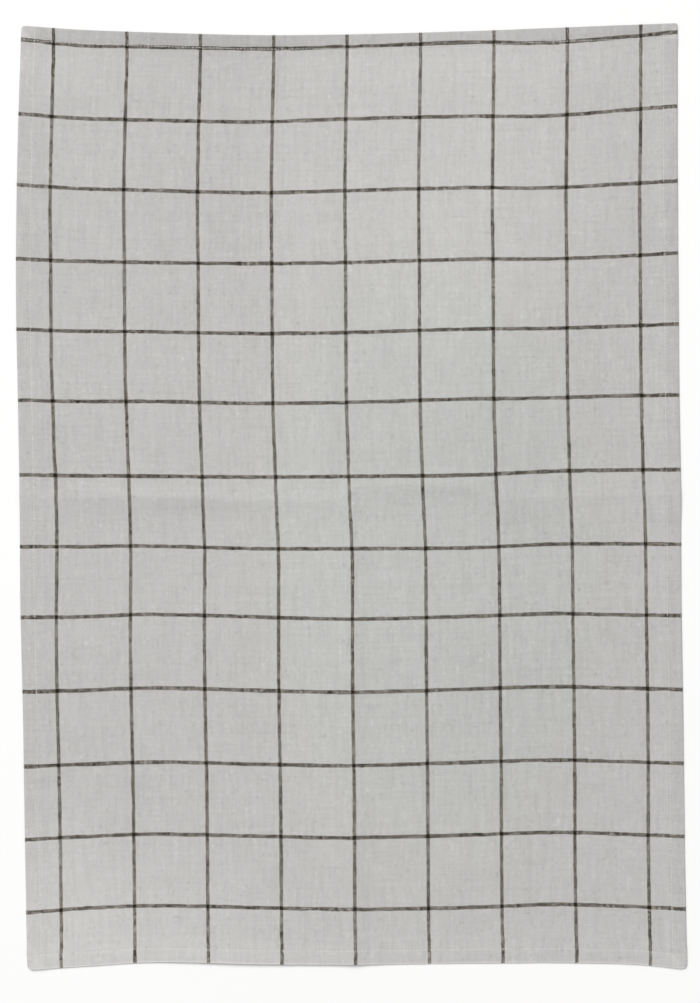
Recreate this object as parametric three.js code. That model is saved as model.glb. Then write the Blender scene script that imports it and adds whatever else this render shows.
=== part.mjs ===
// A tea towel: one woven cloth with a narrow hem all round, laid out flat after it was folded in four.
// Units are millimetres and +Z is up. X runs across the towel and Y along it, and it lies on z = 0.
// The origin is the middle of the towel's box, on the surface that it lies on.
//
// A place on the cloth is named by two flat sizes: "across", from the middle of its width, and "along",
// from the middle of its length. The functions below say where that place lies on the table.

import * as THREE from 'three';
import { mergeVertices } from 'three/addons/utils/BufferGeometryUtils.js';

// The finished cloth, hems turned, and how thick it is built
const WIDTH = 498;
const LENGTH = 704;
const HALF_WIDTH = WIDTH / 2;
const HALF_LENGTH = LENGTH / 2;
// How round each corner of the cloth is
const CORNER_RADII = { topLeft: 3, topRight: 1.6, bottomLeft: 4.5, bottomRight: 4.5 };

// The hem, from the folded edge inwards: the heights of the cloth's under side and upper side.
// The edge is a rounded fold, the hem is thicker than the cloth, and the step beside it is a short slope.
// The last row is the plain cloth inside the hem.
const HEM_SECTION = [
  { inset: 0, under: 0.6, over: 1.4 },
  { inset: 0.8, under: 0, over: 1.9 },
  { inset: 2, under: 0, over: 2 },
  { inset: 11, under: 0, over: 2 },
  { inset: 13, under: 0, over: 1.2 },
];

// The long edges wander sideways. Each row gives their shift to the right at one height of the cloth.
const SIDE_EDGES = [
  { along: -352, left: 5, right: 4.9 },
  { along: -250, left: 3.1, right: 3 },
  { along: -160, left: 1.7, right: 2 },
  { along: -80, left: -0.2, right: 0.6 },
  { along: 0, left: -0.8, right: 0.3 },
  { along: 60, left: -1.8, right: -0.7 },
  { along: 150, left: -3.5, right: -1.6 },
  { along: 250, left: -2.6, right: -2.3 },
  { along: 352, left: 0.5, right: -2.4 },
];

// The short edges are pulled out at the corners. Each row gives their shift upwards at one place across.
const END_EDGES = [
  { across: -249, bottom: -3.5, top: 5.4 },
  { across: -205, bottom: -0.5, top: 2.3 },
  { across: -150, bottom: 2.6, top: 0.3 },
  { across: -70, bottom: 1.1, top: -1.8 },
  { across: 0, bottom: 0.8, top: -1.3 },
  { across: 90, bottom: 1.8, top: 1.2 },
  { across: 150, bottom: 2.2, top: 3.5 },
  { across: 205, bottom: 1.1, top: 5.6 },
  { across: 249, bottom: -2.7, top: 7.2 },
];

// The pressed folds. The cross fold stands up as a ridge over the whole width. The long fold is a ridge
// below it and a valley between two low shoulders above it, as in a cloth that was folded in four.
// The cross fold reaches less far up the cloth than down it.
const CROSS_FOLD = { upwards: 15, downwards: 24, roundness: 1.5 };
// The cross fold jumps up where it passes the long fold, and back again nearer to the right edge.
const CROSS_FOLD_COURSE = [
  { across: -249, along: 2, rise: 0.9 },
  { across: -145, along: 0.7, rise: 1.5 },
  { across: -30, along: -0.6, rise: 0.9 },
  { across: -9, along: -0.6, rise: 0.7 },
  { across: 4, along: 8.6, rise: 0.7 },
  { across: 82, along: 8.6, rise: 1.4 },
  { across: 98, along: 7.6, rise: 0.9 },
  { across: 116, along: -0.8, rise: 0.6 },
  { across: 249, along: -0.8, rise: 0.8 },
];
const LONG_FOLD = { across: -2, rise: 1.2, reach: 25, roundness: 1.5 };
const LONG_VALLEY = { shoulder: 0.7, reach: 50 };
// far * (1 - far) ** 2 is at most 4 / 27, so this brings the valley's shoulders to their stated height.
const SHOULDER_SCALE = 27 / 4;
// The long fold turns from ridge to valley over this distance on each side of the cross fold.
const FOLD_CHANGE = 30;

// Low swells where the cloth doesn't lie right down: the middle of each, how far it reaches each way
// and its rise. Between them the cloth lies flat on the table.
const SWELLS = [
  { across: 120, along: 130, wide: 125, long: 190, rise: 2.2 },
  { across: 110, along: -130, wide: 110, long: 120, rise: 1.5 },
  { across: -150, along: 240, wide: 80, long: 90, rise: 1.2 },
  { across: -75, along: -310, wide: 120, long: 110, rise: 1.9 },
  { across: -105, along: -135, wide: 85, long: 85, rise: 1 },
];

// Grid lines: close together at the hem and at the folds, wide apart between them
const HEM_LINES = [0, 0.8, 2, 4, 11, 13];
const FOLD_LINES = [-24, -14, -7, -2, 0, 3, 8, 12, 20];
const WIDEST_CELL = 30;

const CLOTH_COLOUR = 0xc1c0be;

// The row of a table that comes before a place, and that has a row after it
function rowBefore(places, where) {
  const passed = places.filter((place) => place <= where).length;
  return THREE.MathUtils.clamp(passed - 1, 0, places.length - 2);
}

// A smooth curve through one column of a table. Its slope at a row comes from the rows on both sides.
function columnCurve(rows, place, column) {
  const at = rows.map((row) => row[place]);
  const value = rows.map((row) => row[column]);
  const last = at.length - 1;
  const slope = at.map((_, i) => {
    const before = Math.max(i - 1, 0);
    const after = Math.min(i + 1, last);
    return (value[after] - value[before]) / (at[after] - at[before]);
  });
  return (where) => {
    const i = rowBefore(at, where);
    const gap = at[i + 1] - at[i];
    const t = THREE.MathUtils.clamp((where - at[i]) / gap, 0, 1);
    const rise = t * t * (3 - 2 * t);
    const start = t * (1 - t) * (1 - t) * gap * slope[i];
    const end = t * t * (t - 1) * gap * slope[i + 1];
    return value[i] + (value[i + 1] - value[i]) * rise + start + end;
  };
}

const leftEdge = columnCurve(SIDE_EDGES, 'along', 'left');
const rightEdge = columnCurve(SIDE_EDGES, 'along', 'right');
const bottomEdge = columnCurve(END_EDGES, 'across', 'bottom');
const topEdge = columnCurve(END_EDGES, 'across', 'top');
const crossFoldAlong = columnCurve(CROSS_FOLD_COURSE, 'across', 'along');
const crossFoldRise = columnCurve(CROSS_FOLD_COURSE, 'across', 'rise');

// The radius of the corner in the same quarter of the cloth as a place
function cornerRadius(across, along) {
  if (along > 0) {
    return across < 0 ? CORNER_RADII.topLeft : CORNER_RADII.topRight;
  }
  return across < 0 ? CORNER_RADII.bottomLeft : CORNER_RADII.bottomRight;
}

// The four corners are turned round: the last square of each side's cloth is pressed into a quarter disc.
function roundCorner(across, along) {
  const radius = cornerRadius(across, along);
  const pastSide = (Math.abs(across) - HALF_WIDTH) / radius + 1;
  const pastEnd = (Math.abs(along) - HALF_LENGTH) / radius + 1;
  if (pastSide <= 0 || pastEnd <= 0) {
    return [across, along];
  }
  const sideways = radius * (pastSide * Math.sqrt(1 - pastEnd ** 2 / 2) - 1);
  const lengthways = radius * (pastEnd * Math.sqrt(1 - pastSide ** 2 / 2) - 1);
  return [Math.sign(across) * (HALF_WIDTH + sideways), Math.sign(along) * (HALF_LENGTH + lengthways)];
}

// Where a place on the cloth lies on the table: the edges' wandering fades from one side to the other.
function placeOnTable(across, along) {
  const [a, b] = roundCorner(across, along);
  const fromLeft = (a + HALF_WIDTH) / WIDTH;
  const fromBottom = (b + HALF_LENGTH) / LENGTH;
  const x = a + THREE.MathUtils.lerp(leftEdge(b), rightEdge(b), fromLeft);
  const y = b + THREE.MathUtils.lerp(bottomEdge(a), topEdge(a), fromBottom);
  return [x, y];
}

// A pressed ridge: highest on the fold, and falling away ever more gently to nothing at its reach.
function ridge(distance, { rise, reach, roundness }) {
  const far = Math.min((Math.hypot(distance, roundness) - roundness) / reach, 1);
  return rise * (1 - far) ** 2;
}

// A pressed valley: nothing on the fold, with a shoulder a third of the reach away on each side.
function valley(distance, { shoulder, reach }) {
  const far = Math.min(Math.abs(distance) / reach, 1);
  return shoulder * SHOULDER_SCALE * far * (1 - far) ** 2;
}

// A swell: a round-topped mound on an oval, leaving the table in a soft bend at the oval's edge.
function mound(across, along, swell) {
  const sideways = (across - swell.across) / swell.wide;
  const lengthways = (along - swell.along) / swell.long;
  const far = Math.min(sideways ** 2 + lengthways ** 2, 1);
  return swell.rise * (1 - far) ** 2;
}

// How high the swells and the pressed folds together lift the cloth above the table
function lift(across, along) {
  const swells = SWELLS.reduce((height, swell) => height + mound(across, along, swell), 0);
  const fromCrossFold = along - crossFoldAlong(across);
  const crossFold = ridge(fromCrossFold, {
    rise: crossFoldRise(across),
    reach: fromCrossFold > 0 ? CROSS_FOLD.upwards : CROSS_FOLD.downwards,
    roundness: CROSS_FOLD.roundness,
  });
  const fromLongFold = across - LONG_FOLD.across;
  const upperHalf = THREE.MathUtils.smoothstep(fromCrossFold, -FOLD_CHANGE, FOLD_CHANGE);
  const longFold = THREE.MathUtils.lerp(
    ridge(fromLongFold, LONG_FOLD),
    valley(fromLongFold, LONG_VALLEY),
    upperHalf,
  );
  return swells + crossFold + longFold;
}

// The heights of the under and upper side at one distance from the nearest edge
function sectionAt(inset) {
  const i = rowBefore(HEM_SECTION.map((row) => row.inset), inset);
  const from = HEM_SECTION[i];
  const to = HEM_SECTION[i + 1];
  const t = THREE.MathUtils.clamp((inset - from.inset) / (to.inset - from.inset), 0, 1);
  const under = THREE.MathUtils.lerp(from.under, to.under, t);
  const over = THREE.MathUtils.lerp(from.over, to.over, t);
  return { under, over };
}

// The heights of the cloth's two sides where it is flat. At a corner one hem is turned over the other, so
// what each adds to the plain cloth's height is counted.
function layersAt(across, along) {
  const fromSide = HALF_WIDTH - Math.abs(across);
  const fromEnd = HALF_LENGTH - Math.abs(along);
  const nearer = sectionAt(Math.min(fromSide, fromEnd));
  const further = sectionAt(Math.max(fromSide, fromEnd));
  const plain = HEM_SECTION[HEM_SECTION.length - 1];
  return { under: nearer.under, over: nearer.over + further.over - plain.over };
}

// Grid lines from one edge of the cloth to the other, with the fold's own lines round its place
function gridLines(half, fold) {
  const hemEnd = half - HEM_LINES[HEM_LINES.length - 1];
  const foldStart = fold + FOLD_LINES[0];
  const foldEnd = fold + FOLD_LINES[FOLD_LINES.length - 1];
  const lines = HEM_LINES.map((inset) => inset - half);
  lines.push(...evenLines(-hemEnd, foldStart));
  lines.push(...FOLD_LINES.map((offset) => fold + offset));
  lines.push(...evenLines(foldEnd, hemEnd));
  lines.push(...HEM_LINES.map((inset) => half - inset).reverse());
  return lines;
}

// Lines between two places, both left out, no further apart than the widest cell
function evenLines(from, to) {
  const cells = Math.ceil((to - from) / WIDEST_CELL);
  return Array.from({ length: cells - 1 }, (_, i) => from + ((to - from) * (i + 1)) / cells);
}

// The cloth: an upper and an under grid, joined by a narrow wall round the folded edge
function makeCloth() {
  const acrossLines = gridLines(HALF_WIDTH, LONG_FOLD.across);
  const alongLines = gridLines(HALF_LENGTH, CROSS_FOLD_COURSE[0].along);
  const columns = acrossLines.length;
  const rows = alongLines.length;
  const upper = [];
  const under = [];
  for (const along of alongLines) {
    for (const across of acrossLines) {
      const [x, y] = placeOnTable(across, along);
      const layers = layersAt(across, along);
      const raised = lift(across, along);
      upper.push(x, y, raised + layers.over);
      under.push(x, y, raised + layers.under);
    }
  }

  const underStart = columns * rows;
  const index = [];
  const quad = (a, b, c, d) => index.push(a, b, c, a, c, d);
  for (let row = 0; row < rows - 1; row += 1) {
    for (let column = 0; column < columns - 1; column += 1) {
      const corner = row * columns + column;
      const above = corner + columns;
      quad(corner, corner + 1, above + 1, above);
      quad(underStart + corner, underStart + above, underStart + above + 1, underStart + corner + 1);
    }
  }
  for (const [from, to] of rimSteps(columns, rows)) {
    quad(underStart + from, underStart + to, to, from);
  }

  const geometry = new THREE.BufferGeometry();
  geometry.setAttribute('position', new THREE.Float32BufferAttribute([...upper, ...under], 3));
  geometry.setIndex(index);
  return geometry;
}

// Neighbouring places round the edge of the grid, anticlockwise seen from above
function rimSteps(columns, rows) {
  const acrossSteps = Array.from({ length: columns - 1 }, (_, i) => i);
  const alongSteps = Array.from({ length: rows - 1 }, (_, i) => i);
  const rim = [
    ...acrossSteps,
    ...alongSteps.map((step) => step * columns + columns - 1),
    ...acrossSteps.map((step) => rows * columns - 1 - step),
    ...alongSteps.map((step) => (rows - 1 - step) * columns),
  ];
  return rim.map((place, i) => [place, rim[(i + 1) % rim.length]]);
}

// The middle of the cloth's box becomes the origin, and the table stays z = 0
function centreOnTable(geometry) {
  geometry.computeBoundingBox();
  const middle = geometry.boundingBox.getCenter(new THREE.Vector3());
  return geometry.translate(-middle.x, -middle.y, 0);
}

const cloth = mergeVertices(centreOnTable(makeCloth()));
cloth.computeVertexNormals();

const clothMaterial = new THREE.MeshStandardMaterial({ color: CLOTH_COLOUR, roughness: 0.95, metalness: 0 });
const towel = new THREE.Mesh(cloth, clothMaterial);
towel.name = 'towel';

const teaTowel = new THREE.Group();
teaTowel.add(towel);

export default teaTowel;
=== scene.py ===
# %% [markdown]
# A tea towel laid out flat
#
# A tea towel is one piece of plain-woven cloth. Its four edges are turned twice to the back and held by
# one line of machine stitches. This one has been folded in four and laid out again, so it has two pressed
# creases, a few low swells, and edges and check lines that wander by some millimetres.
#
# The lesson builds it in the order of the real thing: the flat cloth and where its places lie on the
# table, the folds, the layers of the hem, the weave, and then the sewing. All sizes are in millimetres
# until a mesh is made, and a mesh is in metres.
#
# The first cell loads the towel's solid as a fixed frame, and keeps the box that the looks have to fill.

# %% Load the frame
import math

import bpy
import numpy as np
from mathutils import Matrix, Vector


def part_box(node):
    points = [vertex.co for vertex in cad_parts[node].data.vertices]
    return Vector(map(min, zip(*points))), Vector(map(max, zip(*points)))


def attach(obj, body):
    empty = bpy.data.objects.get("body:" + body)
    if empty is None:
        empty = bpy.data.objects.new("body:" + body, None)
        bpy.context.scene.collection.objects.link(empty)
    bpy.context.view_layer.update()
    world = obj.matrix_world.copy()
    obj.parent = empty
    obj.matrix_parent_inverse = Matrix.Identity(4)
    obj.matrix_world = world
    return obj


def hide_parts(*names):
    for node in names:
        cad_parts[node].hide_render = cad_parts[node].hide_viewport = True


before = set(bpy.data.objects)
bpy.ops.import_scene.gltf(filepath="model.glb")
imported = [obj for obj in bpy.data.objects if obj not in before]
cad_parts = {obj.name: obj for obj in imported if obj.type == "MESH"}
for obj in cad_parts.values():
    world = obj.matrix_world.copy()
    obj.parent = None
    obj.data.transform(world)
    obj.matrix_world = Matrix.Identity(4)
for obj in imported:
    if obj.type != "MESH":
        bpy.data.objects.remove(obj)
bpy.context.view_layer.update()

MM = 0.001
towel_low, towel_high = (np.array(corner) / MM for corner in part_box("towel"))
print("box of the solid towel in mm:", towel_low.round(2), towel_high.round(2))

# %% [markdown]
# The camera
#
# The towel is seen straight from above, with its length upright in the picture. A real camera far above
# the table, with a long lens, shows hardly any perspective, and an orthographic camera would show none.
# The long lens is used here because it also gives a natural picture when the camera is moved to a side.
# Its focal length follows from the height of the view, by similar triangles.

# %% Camera straight above the cloth
PICTURE_HEIGHT = 757 * MM
CAMERA_DISTANCE = 2.4
SENSOR_LENGTH = 36
VIEW_CENTRE = (-1.1 * MM, -3.7 * MM)
CAMERA_SIGHT = 100

camera_data = bpy.data.cameras.new("camera")
camera_data.sensor_width = SENSOR_LENGTH
camera_data.lens = SENSOR_LENGTH * CAMERA_DISTANCE / PICTURE_HEIGHT
camera_data.clip_end = CAMERA_SIGHT
camera = bpy.data.objects.new("camera", camera_data)
camera.location = (*VIEW_CENTRE, CAMERA_DISTANCE)
bpy.context.collection.objects.link(camera)
bpy.context.scene.camera = camera
print("focal length in mm:", round(camera_data.lens, 1))

# %% [markdown]
# Smooth curves through short tables
#
# Many things here wander softly: an edge, a fold, a check line. Each is measured at a few places, and the
# curve between them is a cubic. A drawing program would call it a spline. It is written out, because then
# the same line of code serves a column, a whole table or a field over the cloth.

# %% A smooth curve and a smooth field
def smooth(places, values, where):
    """The curve through a table. Between two rows it is a cubic, and its slope at a row is that of the
    straight line between the rows before and after. values may have several columns."""
    places = np.asarray(places, float)
    values = np.asarray(values, float)
    table = values.reshape(len(places), -1)
    where = np.asarray(where, float)
    spot = np.clip(where.ravel(), places[0], places[-1])
    order = np.arange(len(places))
    before = np.maximum(order - 1, 0)
    after = np.minimum(order + 1, len(places) - 1)
    slope = (table[after] - table[before]) / (places[after] - places[before])[:, None]
    row = np.clip(np.searchsorted(places, spot, side="right") - 1, 0, len(places) - 2)
    gap = (places[row + 1] - places[row])[:, None]
    t = (spot - places[row])[:, None] / gap
    rise = t * t * (3 - 2 * t) * (table[row + 1] - table[row])
    bend = t * (1 - t) ** 2 * gap * slope[row] + t * t * (t - 1) * gap * slope[row + 1]
    return (table[row] + rise + bend).reshape(where.shape + values.shape[1:])


def smooth_field(alongs, acrosses, values, across, along):
    """The surface through a table with a row for each place along the cloth and a column for each place
    across it: the curve through the rows, weighed by the curve through the columns."""
    row_weights = smooth(alongs, np.eye(len(alongs)), along)
    column_weights = smooth(acrosses, np.eye(len(acrosses)), across)
    return np.einsum("...i,ij,...j->...", row_weights, values, column_weights)


def smooth_step(value, low, high):
    """0 below low, 1 above high and an S-shaped cubic between them."""
    t = np.clip((value - low) / (high - low), 0, 1)
    return t * t * (3 - 2 * t)


# %% [markdown]
# Where a place on the cloth lies on the table
#
# A place is named by two flat sizes: across, from the middle of the width, and along, from the middle of
# the length. The long edges wander sideways and the short edges are pulled out at the corners. The shift
# fades from one edge to the opposite one, as it does in a cloth that was tugged straight by hand.

# %% The flat cloth and its wandering edges
WIDTH = 498
LENGTH = 704
HALF_WIDTH = WIDTH / 2
HALF_LENGTH = LENGTH / 2
CORNER_RADIUS = {"top left": 3, "top right": 1.6, "bottom left": 4.5, "bottom right": 4.5}

# along, shift of the left edge, shift of the right edge (to the right)
SIDE_EDGES = np.array([
    (-352, 5, 4.9),
    (-250, 3.1, 3),
    (-160, 1.7, 2),
    (-80, -0.2, 0.6),
    (0, -0.8, 0.3),
    (60, -1.8, -0.7),
    (150, -3.5, -1.6),
    (250, -2.6, -2.3),
    (352, 0.5, -2.4),
])

# across, shift of the bottom edge, shift of the top edge (upwards)
END_EDGES = np.array([
    (-249, -3.5, 5.4),
    (-205, -0.5, 2.3),
    (-150, 2.6, 0.3),
    (-70, 1.1, -1.8),
    (0, 0.8, -1.3),
    (90, 1.8, 1.2),
    (150, 2.2, 3.5),
    (205, 1.1, 5.6),
    (249, -2.7, 7.2),
])


def round_corners(across, along):
    """Presses the last square of cloth at each corner into a quarter of a disc, by the usual map of a
    square onto a disc: each side is shortened by the root of one less half the other side's square."""
    at_top = np.where(across < 0, CORNER_RADIUS["top left"], CORNER_RADIUS["top right"])
    at_bottom = np.where(across < 0, CORNER_RADIUS["bottom left"], CORNER_RADIUS["bottom right"])
    radius = np.where(along > 0, at_top, at_bottom)
    past_side = (np.abs(across) - HALF_WIDTH) / radius + 1
    past_end = (np.abs(along) - HALF_LENGTH) / radius + 1
    in_corner = (past_side > 0) & (past_end > 0)
    p = np.where(in_corner, past_side, 0)
    q = np.where(in_corner, past_end, 0)
    sideways = HALF_WIDTH + radius * (p * np.sqrt(1 - q * q / 2) - 1)
    endways = HALF_LENGTH + radius * (q * np.sqrt(1 - p * p / 2) - 1)
    rounded_across = np.where(in_corner, np.sign(across) * sideways, across)
    rounded_along = np.where(in_corner, np.sign(along) * endways, along)
    return rounded_across, rounded_along


def place_on_table(across, along):
    """The place, moved by the shifts of the two edges on each side of it, weighed by how near they are."""
    a, b = round_corners(across, along)
    side_shifts = smooth(SIDE_EDGES[:, 0], SIDE_EDGES[:, 1:], b)
    end_shifts = smooth(END_EDGES[:, 0], END_EDGES[:, 1:], a)
    from_left = (a + HALF_WIDTH) / WIDTH
    from_bottom = (b + HALF_LENGTH) / LENGTH
    x = a + side_shifts[..., 0] * (1 - from_left) + side_shifts[..., 1] * from_left
    y = b + end_shifts[..., 0] * (1 - from_bottom) + end_shifts[..., 1] * from_bottom
    return x, y


# %% [markdown]
# The check lines wander too
#
# The weaver's check is even: a line every 55.5 mm across and every 54.4 mm along. On the table the lines
# wander, since the cloth was washed, pressed and pulled. A painted picture of bent lines would be one way.
# Here the yarns themselves drift, so the weave bends with its check as in real cloth: two small tables say
# how far the cloth has drifted at each place, and the pattern is read where the cloth came from.

# %% How far the yarns have drifted
WARP_LINE_PITCH = 55.5
MIDDLE_WARP_LINE = -0.9
WEFT_LINE_PITCH = 54.4
TOP_WEFT_LINE = 342.6

# Drift of the lengthways yarns to the right: a row for each place along, a column for each place across
WARP_ACROSS = (-223, -1, 221)
WARP_DRIFT = np.array([
    (-345, 4.6, 4.8, 5.2),
    (-318, 4.6, 4.2, 4.5),
    (-263, 3.9, 3.9, 3.6),
    (-209, 3.0, 3.5, 3.5),
    (-155, 1.6, 2.6, 3.1),
    (-100, 0.8, 2.3, 2.2),
    (-46, 1.2, 2.2, 1.6),
    (-19, 1.1, 1.1, 1.1),
    (8, 0.5, -0.2, -0.1),
    (35, -0.8, -1.0, -0.8),
    (63, -1.6, -2.0, -1.5),
    (100, -2.9, -2.5, -2.1),
    (171, -3.4, -2.9, -2.5),
    (226, -3.8, -3.4, -3.0),
    (280, -2.7, -2.8, -2.2),
    (334, -1.2, -1.7, -2.2),
])

# Drift of the crossways yarns upwards, in the same way
WEFT_ACROSS = (-249, -205, -150, -70, 0, 90, 150, 205, 249)
WEFT_DRIFT = np.array([
    (-310, -1.8, 1.5, 3.5, 2.1, 0.8, 2.2, 4.4, 3.0, 1.0),
    (-201, -0.5, 1.3, 3.0, 1.3, 0.4, 2.9, 4.6, 3.3, 1.9),
    (-92, 3.3, 3.8, 5.7, 3.7, 2.2, 4.2, 6.2, 5.3, 4.8),
    (-38, 2.4, 2.3, 2.8, 0.9, 0.8, 1.5, 4.2, 4.5, 4.2),
    (17, 2.1, 1.6, 1.2, 0.5, 1.0, 2.0, 4.8, 5.8, 6.0),
    (71, 4.1, 3.2, 3.1, 1.8, 2.4, 4.9, 5.8, 7.4, 8.0),
    (125, 3.4, 1.8, 1.4, 0.0, 0.8, 3.3, 3.7, 5.5, 7.2),
    (180, 2.1, 0.1, -0.8, -1.6, -0.9, 1.5, 1.7, 3.8, 6.4),
    (234, 3.6, 0.7, -0.8, -2.6, -1.0, 1.1, 1.0, 3.9, 6.4),
    (289, 2.6, -0.8, -2.3, -3.5, -1.3, 0.7, 1.0, 5.0, 8.4),
    (343, 4.3, -0.2, -1.4, -2.9, -1.4, 2.0, 1.6, 5.7, 9.8),
])


def yarn_drift(across, along):
    """How far the cloth at a place has moved to the right and upwards since it was woven."""
    rightwards = smooth_field(WARP_DRIFT[:, 0], WARP_ACROSS, WARP_DRIFT[:, 1:], across, along)
    upwards = smooth_field(WEFT_DRIFT[:, 0], WEFT_ACROSS, WEFT_DRIFT[:, 1:], across, along)
    return rightwards, upwards


drift_in_middle = yarn_drift(np.array(0.0), np.array(0.0))
print("drift in the middle in mm:", [round(float(drift), 2) for drift in drift_in_middle])

# %% [markdown]
# Pressed folds and low swells
#
# A cloth that was folded in four keeps a ridge across it, and a fold along it that is a ridge on one half
# and a valley on the other. Between them it doesn't lie quite down. A cloth simulation would invent its own
# folds, and these have to lie where the real ones do, so they are listed as soft ridges and
# mounds, the same ones as in the solid. The fold across the cloth lies some millimetres higher for a
# stretch right of the middle, as if the layers had slipped there, and falls more steeply on its upper side.

# %% Ridges, valleys and mounds
CROSS_FOLD_REACH_UPWARDS = 15
CROSS_FOLD_REACH_DOWNWARDS = 24
CROSS_FOLD_ROUNDNESS = 1.5
# across, where the fold lies along the cloth, its rise
CROSS_FOLD_COURSE = np.array([
    (-249, 2.0, 0.9),
    (-145, 0.7, 1.5),
    (-30, -0.6, 0.9),
    (-9, -0.6, 0.7),
    (4, 8.6, 0.7),
    (82, 8.6, 1.4),
    (98, 7.6, 0.9),
    (116, -0.8, 0.6),
    (249, -0.8, 0.8),
])
LONG_FOLD_ACROSS = -2
LONG_RIDGE_RISE = 1.2
LONG_RIDGE_REACH = 25
LONG_RIDGE_ROUNDNESS = 1.5
VALLEY_SHOULDER = 0.7
VALLEY_REACH = 50
# far * (1 - far) ** 2 is at most 4 / 27, so this brings the valley's shoulders to their stated height
SHOULDER_SCALE = 27 / 4
FOLD_CHANGE = 30

# across, along, reach across, reach along, rise
SWELLS = (
    (120, 130, 125, 190, 2.2),
    (110, -130, 110, 120, 1.5),
    (-150, 240, 80, 90, 1.2),
    (-75, -310, 120, 110, 1.9),
    (-105, -135, 85, 85, 1.0),
)


def ridge(distance, rise, reach, roundness):
    """Highest on the fold and falling ever more gently to nothing at its reach: the square of what is
    left of the reach, with the distance rounded off at the crest."""
    far = np.minimum((np.hypot(distance, roundness) - roundness) / reach, 1)
    return rise * (1 - far) ** 2


def valley(distance, shoulder, reach):
    """Nothing on the fold, and a shoulder a third of the reach away on each side."""
    far = np.minimum(np.abs(distance) / reach, 1)
    return shoulder * SHOULDER_SCALE * far * (1 - far) ** 2


def mound(across, along, swell):
    """A round-topped mound on an oval: the square of one less the squared distance from its middle."""
    middle_across, middle_along, wide, long, rise = swell
    far = ((across - middle_across) / wide) ** 2 + ((along - middle_along) / long) ** 2
    return rise * (1 - np.minimum(far, 1)) ** 2


def fold_lift(across, along):
    """How high the folds and the swells together lift the cloth above the table."""
    course = smooth(CROSS_FOLD_COURSE[:, 0], CROSS_FOLD_COURSE[:, 1:], across)
    from_cross_fold = along - course[..., 0]
    reach = np.where(from_cross_fold > 0, CROSS_FOLD_REACH_UPWARDS, CROSS_FOLD_REACH_DOWNWARDS)
    cross_fold = ridge(from_cross_fold, course[..., 1], reach, CROSS_FOLD_ROUNDNESS)
    from_long_fold = across - LONG_FOLD_ACROSS
    low_half = ridge(from_long_fold, LONG_RIDGE_RISE, LONG_RIDGE_REACH, LONG_RIDGE_ROUNDNESS)
    top_half = valley(from_long_fold, VALLEY_SHOULDER, VALLEY_REACH)
    upwards = smooth_step(from_cross_fold, -FOLD_CHANGE, FOLD_CHANGE)
    long_fold = low_half + (top_half - low_half) * upwards
    return cross_fold + long_fold + sum(mound(across, along, swell) for swell in SWELLS)


# %% [markdown]
# Ripples that the solid leaves out
#
# Between the folds a pressed cloth has faint ripples, a few tenths of a millimetre high, and along its hem
# the stitches draw it into small puckers. Both are sums of sine waves whose lengths, directions and phases
# come from a seeded draw, so they are uneven and yet the same in each run. They only lift the cloth,
# because the table is under it.

# %% Ripples and puckers
SEED = 4
RIPPLE_COUNT = 26
RIPPLE_HEIGHT = 0.32
RIPPLE_LENGTHS = (38, 150)
draw = np.random.default_rng(SEED)
ripple_lengths = draw.uniform(*RIPPLE_LENGTHS, RIPPLE_COUNT)
ripple_turns = draw.uniform(0, math.pi, RIPPLE_COUNT)
ripple_phases = draw.uniform(0, 2 * math.pi, RIPPLE_COUNT)

PUCKER_COUNT = 14
PUCKER_HEIGHT = 0.22
PUCKER_LENGTHS = (9, 34)
PUCKER_FADE = (8, 32)
pucker_lengths = draw.uniform(*PUCKER_LENGTHS, PUCKER_COUNT)
pucker_phases = draw.uniform(0, 2 * math.pi, (4, PUCKER_COUNT))


def rolling(angles):
    """The sum of many sine waves, squeezed smoothly between 0 and 1."""
    total = np.sin(angles).sum(axis=-1) / math.sqrt(angles.shape[-1] / 2)
    return (1 + np.tanh(total)) / 2


def ripple(across, along):
    """Waves over the whole cloth, each with its own length, direction and phase."""
    onwards = (across[..., None] * np.cos(ripple_turns) + along[..., None] * np.sin(ripple_turns))
    return RIPPLE_HEIGHT * rolling(2 * math.pi * onwards / ripple_lengths + ripple_phases)


def pucker(across, along):
    """Short waves that run along the nearest hem, and fade away from its line of stitches inwards."""
    from_side = HALF_WIDTH - np.abs(across)
    from_end = HALF_LENGTH - np.abs(along)
    side_waves = 2 * math.pi * along[..., None] / pucker_lengths
    end_waves = 2 * math.pi * across[..., None] / pucker_lengths
    side = rolling(side_waves + pucker_phases[(across > 0).astype(int)])
    end = rolling(end_waves + pucker_phases[2 + (along > 0).astype(int)])
    near_side = 1 - smooth_step(from_side, *PUCKER_FADE)
    near_end = 1 - smooth_step(from_end, *PUCKER_FADE)
    return PUCKER_HEIGHT * np.maximum(side * near_side, end * near_end)


# %% [markdown]
# The layers of the hem
#
# The hem is turned twice, so it has three layers of cloth where the rest has one. Its outer edge is a
# rounded fold, the stitches press it down in a line, and its inner fold ends on the back of the cloth,
# which comes down to the table beyond it. Solidify could give a sheet its thickness, but not this section,
# so the upper and the under side each get a height of their own at every distance from the edge.
#
# At the corners both hems add their layers, which makes the small thick square that every hemmed cloth has.

# %% Heights of the two sides of the cloth
CLOTH_THICKNESS = 0.4
FOLD_RADIUS = 0.45
INNER_FOLD = 12.2
HEM_REACH = 24

# distance from the edge, what the hem adds to the height of the upper side
HEM_ADDS = np.array([
    (0, 0.42),
    (0.45, 0.42),
    (2.2, 0.55),
    (4.5, 0.62),
    (7.0, 0.67),
    (9.4, 0.68),
    (10.6, 0.56),
    (11.6, 0.66),
    (12.6, 0.62),
    (14.5, 0.46),
    (17.5, 0.2),
    (HEM_REACH, 0.0),
])

# distance from the edge, how much of the under side has left the table beyond the hem's inner fold
LEAVING = np.array([(11.8, 0), (12.0, 0.17), (12.15, 0.58), (INNER_FOLD, 1)])


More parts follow.
